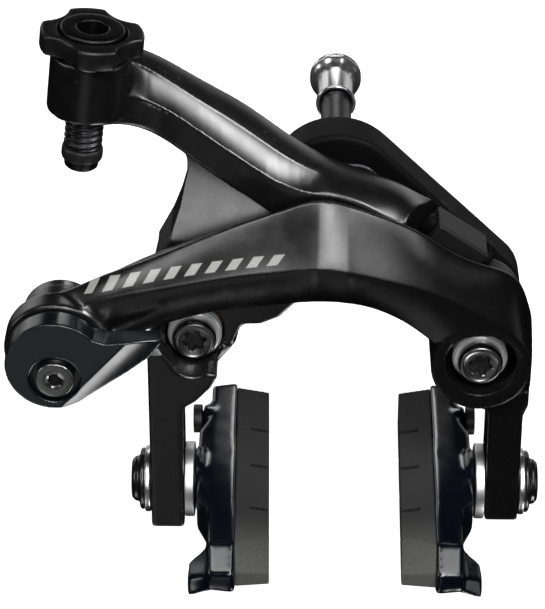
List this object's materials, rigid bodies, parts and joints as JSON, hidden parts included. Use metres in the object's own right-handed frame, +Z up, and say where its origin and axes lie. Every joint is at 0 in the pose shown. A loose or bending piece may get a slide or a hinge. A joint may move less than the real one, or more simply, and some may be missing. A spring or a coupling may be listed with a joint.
{
  "type": "rim brake caliper",
  "caption": "Dual-pivot rim brake caliper for a road bicycle fork, with two sprung arms, a cable adjuster, a quick-release cable clamp and height-adjustable shoes.",
  "frame": {"origin": "on the mounting stud's axis, in the plane where the toothed washer meets the fork", "axes": "+Y along the stud from the caliper into the fork, +Z up, +X to the right seen from the front of the bicycle"},
  "size_m": [0.0993, 0.1011, 0.1046],
  "materials": {
    "black_gloss_aluminium": "glossy black anodised forging",
    "black_plate": "satin black coated plate",
    "chrome_nut": "bright chrome plate",
    "bright_steel": "machined, bright",
    "dark_steel": "dark coated steel",
    "black_steel": "black oxide",
    "silver_washer": "machined satin",
    "gloss_black_holder": "glossy black moulding",
    "pad_rubber": "matt moulded rubber",
    "knob_plastic": "dark satin",
    "bronze_bush": "sintered bearing bronze",
    "black_plastic": "matt"
  },
  "bodies": {
    "bridge": {"bridge_plate": "black_plate", "mounting_stud": "black_steel", "toothed_washer": "black_steel", "return_spring": "bright_steel", "left_pivot_bolt": "dark_steel", "left_pivot_collar": "bright_steel", "left_pivot_sleeve": "bright_steel", "left_thrust_washer": "bronze_bush", "right_pivot_bolt": "dark_steel", "right_pivot_collar": "bright_steel", "right_pivot_sleeve": "bright_steel", "right_thrust_washer": "bronze_bush"},
    "nut": {"recessed_nut": "chrome_nut"},
    "rear_arm": {"rear_arm": "black_gloss_aluminium", "left_pivot_bush": "bronze_bush", "detent_washer": "bright_steel"},
    "front_arm": {"front_arm": "black_gloss_aluminium", "right_pivot_bush": "bronze_bush", "roller_pin": "dark_steel", "centring_block": "black_plastic"},
    "roller": {"sync_roller": "bright_steel"},
    "centring_screw": {"centring_screw": "black_steel"},
    "adjuster_barrel": {"adjuster_barrel": "black_steel", "barrel_end_ring": "black_plastic"},
    "adjuster_knob": {"adjuster_knob": "knob_plastic"},
    "quick_release": {"quick_release_lever": "black_gloss_aluminium", "cam_shaft": "dark_steel", "rear_clamp_hub": "black_gloss_aluminium", "anchor_bolt": "dark_steel"},
    "left_shoe": {"left_shoe_holder": "gloss_black_holder", "left_brake_pad": "pad_rubber", "left_spacer_washer": "silver_washer", "left_outer_washer": "silver_washer", "left_shoe_bolt": "black_steel", "left_pad_screw": "black_plastic"},
    "right_shoe": {"right_shoe_holder": "gloss_black_holder", "right_brake_pad": "pad_rubber", "right_spacer_washer": "silver_washer", "right_outer_washer": "silver_washer", "right_shoe_bolt": "black_steel", "right_pad_screw": "black_plastic"}
  },
  "joints": [
    {"name": "front_arm_pivot", "type": "hinge", "parent": "bridge", "child": "front_arm", "pos_m": [0.0264, -0.03, -0.0209], "axis": [0, 1, 0], "range_deg": [0, 9], "stiffness_Nm_per_rad": 1.5, "springref_deg": -20.05, "deforming": ["return_spring"]},
    {"name": "rear_arm_pivot", "type": "hinge", "parent": "bridge", "child": "rear_arm", "pos_m": [-0.0264, -0.02, -0.0209], "axis": [0, 1, 0], "range_deg": [-9, 0], "stiffness_Nm_per_rad": 1.5, "springref_deg": 20.05},
    {"name": "roller_spin", "type": "hinge", "parent": "front_arm", "child": "roller", "pos_m": [0, -0.026, 0.0015], "axis": [0, 1, 0], "continuous": true},
    {"name": "centring_screw_turn", "type": "hinge", "parent": "front_arm", "child": "centring_screw", "pos_m": [0.0162, -0.0244, 0.0019], "axis": [0.8192, 0, -0.5736], "range_deg": [-180, 180]},
    {"name": "barrel_travel", "type": "slide", "parent": "rear_arm", "child": "adjuster_barrel", "axis": [0.1132, 0, 0.9936], "range_m": [0, 0.005]},
    {"name": "adjuster_knob_turn", "type": "hinge", "parent": "adjuster_barrel", "child": "adjuster_knob", "pos_m": [-0.04323, -0.031, 0.04092], "axis": [0.1132, 0, 0.9936], "range_deg": [0, 1800]},
    {"name": "quick_release_turn", "type": "hinge", "parent": "front_arm", "child": "quick_release", "pos_m": [-0.0509, -0.04, -0.016], "axis": [0, 1, 0], "range_deg": [0, 100]},
    {"name": "left_shoe_height", "type": "slide", "parent": "rear_arm", "child": "left_shoe", "axis": [0, 0, 1], "range_m": [0, 0.012]},
    {"name": "right_shoe_height", "type": "slide", "parent": "front_arm", "child": "right_shoe", "axis": [0, 0, 1], "range_m": [0, 0.012]},
    {"name": "nut_travel", "type": "slide", "parent": "bridge", "child": "nut", "axis": [0, 1, 0], "range_m": [0, 0.018]}
  ],
  "couplings": [
    {"joint": "rear_arm_pivot", "follows": "front_arm_pivot", "ratio": -1},
    {"joint": "adjuster_knob_turn", "follows": "barrel_travel", "rad_per_m": 6283.2}
  ]
}
